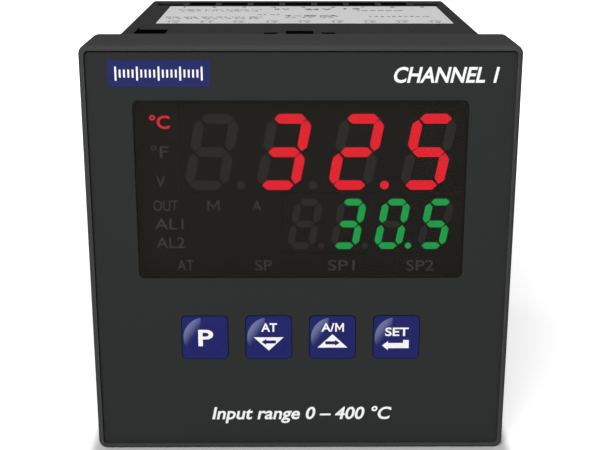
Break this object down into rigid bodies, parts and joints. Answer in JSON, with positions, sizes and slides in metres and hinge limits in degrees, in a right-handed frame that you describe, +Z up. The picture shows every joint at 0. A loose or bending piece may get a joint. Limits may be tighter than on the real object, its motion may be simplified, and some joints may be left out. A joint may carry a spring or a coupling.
{
  "type": "pid temperature controller",
  "caption": "Square panel-mount temperature controller with a smoked display window, a row of sprung keys, a gasketed bezel and a box housing with screw terminals at the rear.",
  "frame": {"origin": "on the ground plane under the middle of the whole instrument", "axes": "+Z up, the display faces -Y, the terminals face +Y, +X to the right as seen from the front"},
  "size_m": [0.072, 0.086, 0.072],
  "materials": {
    "black_plastic": "fine matte moulded texture",
    "gasket_rubber": "soft matte",
    "film_grey": "satin printed polyester film",
    "smoked_acrylic": "polished dark tint",
    "key_blue": "satin blue with white legends",
    "display_black": "matte black display case",
    "red_light": "lit red segment",
    "green_light": "lit green segment",
    "dark_segment": "unlit milky segment",
    "legend_film": "printed legend sheet",
    "lamp": "clear lamp",
    "board_green": "green solder mask",
    "terminal_plastic": "black nylon",
    "tinned_brass": "tinned",
    "screw_steel": "zinc plated",
    "relay_plastic": "blue relay can",
    "core_steel": "laminated edges",
    "bobbin_plastic": "natural nylon",
    "winding_tape": "yellow tape over copper",
    "capacitor_can": "sleeved can",
    "component_epoxy": "black moulding",
    "film_red": "dipped epoxy",
    "varistor_blue": "dipped epoxy",
    "crystal_metal": "drawn can",
    "label_paper": "printed polyester label",
    "switch_plastic": "switch base"
  },
  "bodies": {
    "case": {"bridge_rectifier": "component_epoxy", "converter_chip": "component_epoxy", "crystal": "crystal_metal", "display_board": "board_green", "display_filter": "smoked_acrylic", "film_capacitor": "film_red", "front_bezel": "black_plastic", "fuse": "component_epoxy", "green_display_case": "display_black", "green_segments_dark": "dark_segment", "green_segments_lit": "green_light", "indicator_lamps": "lamp", "indicator_light_box": "display_black", "legend_sheet": "legend_film", "lower_board": "board_green", "lower_clamp_plates": "tinned_brass", "lower_contact_strips": "tinned_brass", "lower_header": "component_epoxy", "lower_header_pins": "tinned_brass", "lower_terminal_block": "terminal_plastic", "lower_terminal_screws": "screw_steel", "output_relay_front": "relay_plastic", "output_relay_rear": "relay_plastic", "overlay_film": "film_grey", "panel_gasket": "gasket_rubber", "processor_chip": "component_epoxy", "rating_label": "label_paper", "rear_housing": "black_plastic", "red_display_case": "display_black", "red_segments_dark": "dark_segment", "red_segments_lit": "red_light", "small_capacitors": "capacitor_can", "smoothing_capacitor": "capacitor_can", "switch_base_down": "switch_plastic", "switch_base_program": "switch_plastic", "switch_base_set": "switch_plastic", "switch_base_up": "switch_plastic", "transformer_bobbin": "bobbin_plastic", "transformer_core": "core_steel", "transformer_winding": "winding_tape", "upper_board": "board_green", "upper_clamp_plates": "tinned_brass", "upper_contact_strips": "tinned_brass", "upper_header": "component_epoxy", "upper_header_pins": "tinned_brass", "upper_terminal_block": "terminal_plastic", "upper_terminal_screws": "screw_steel", "varistor": "varistor_blue", "voltage_regulator": "component_epoxy"},
    "program_key": {"key_program": "key_blue", "plunger_program": "switch_plastic"},
    "down_key": {"key_down": "key_blue", "plunger_down": "switch_plastic"},
    "up_key": {"key_up": "key_blue", "plunger_up": "switch_plastic"},
    "set_key": {"key_set": "key_blue", "plunger_set": "switch_plastic"}
  },
  "joints": [
    {"name": "program_key_press", "type": "slide", "parent": "case", "child": "program_key", "axis": [0, 1, 0], "range_m": [0, 0.0004], "stiffness_N_per_m": 2500, "springref_m": -0.0001},
    {"name": "down_key_press", "type": "slide", "parent": "case", "child": "down_key", "axis": [0, 1, 0], "range_m": [0, 0.0004], "stiffness_N_per_m": 2500, "springref_m": -0.0001},
    {"name": "up_key_press", "type": "slide", "parent": "case", "child": "up_key", "axis": [0, 1, 0], "range_m": [0, 0.0004], "stiffness_N_per_m": 2500, "springref_m": -0.0001},
    {"name": "set_key_press", "type": "slide", "parent": "case", "child": "set_key", "axis": [0, 1, 0], "range_m": [0, 0.0004], "stiffness_N_per_m": 2500, "springref_m": -0.0001}
  ]
}
